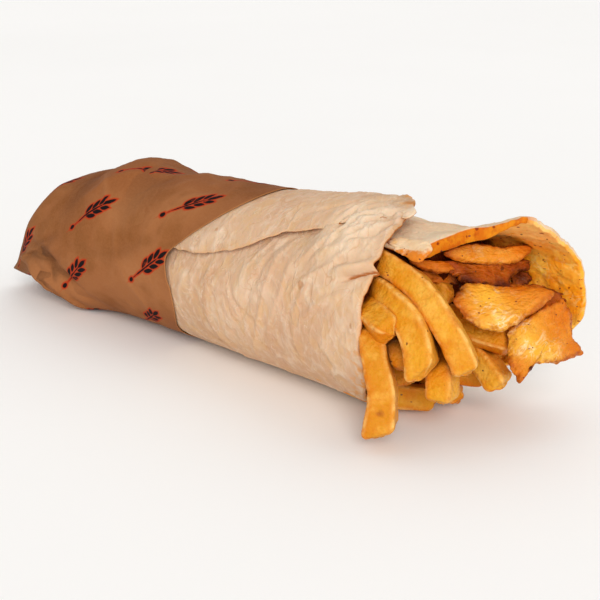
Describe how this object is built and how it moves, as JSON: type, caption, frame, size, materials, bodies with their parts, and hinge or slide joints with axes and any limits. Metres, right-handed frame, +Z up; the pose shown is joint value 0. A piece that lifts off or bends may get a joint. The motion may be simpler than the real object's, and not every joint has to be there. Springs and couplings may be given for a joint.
{
  "type": "lavash wrap",
  "caption": "Rolled flatbread wrap lying on its side, open end filled with fries and chicken slices, other end closed in a kraft paper sleeve.",
  "frame": {"origin": "centre of the footprint of the bounding box, on the surface the wrap lies on", "axes": "+X along the roll towards its open mouth, +Z up, -Y the side with the bread's free edge and most of the fries"},
  "size_m": [0.2716, 0.0814, 0.0738],
  "materials": {
    "kraft_paper": "matte, lightly creased kraft paper with a loose print",
    "lavash": "soft flatbread, matte, finely creased, toasted spots",
    "lavash_inside": "soft flatbread stained with orange oil and spice on its inside",
    "fries": "golden fried potato, soft oily gloss",
    "chicken": "spiced grilled chicken, browned edges, oily gloss"
  },
  "bodies": {
    "root": {"paper_wrap": "kraft_paper", "lavash_outer": "lavash", "lavash_inner": "lavash_inside", "lavash_torn_flap": "lavash_inside", "fries": "fries", "chicken_filling": "chicken", "chicken_slice_upper": "chicken", "chicken_slice_dark": "chicken", "chicken_strip": "chicken", "chicken_shred": "chicken", "chicken_slice_front": "chicken", "chicken_slice_hanging": "chicken", "chicken_crisp": "chicken", "chicken_dark_end": "chicken"}
  },
  "joints": []
}
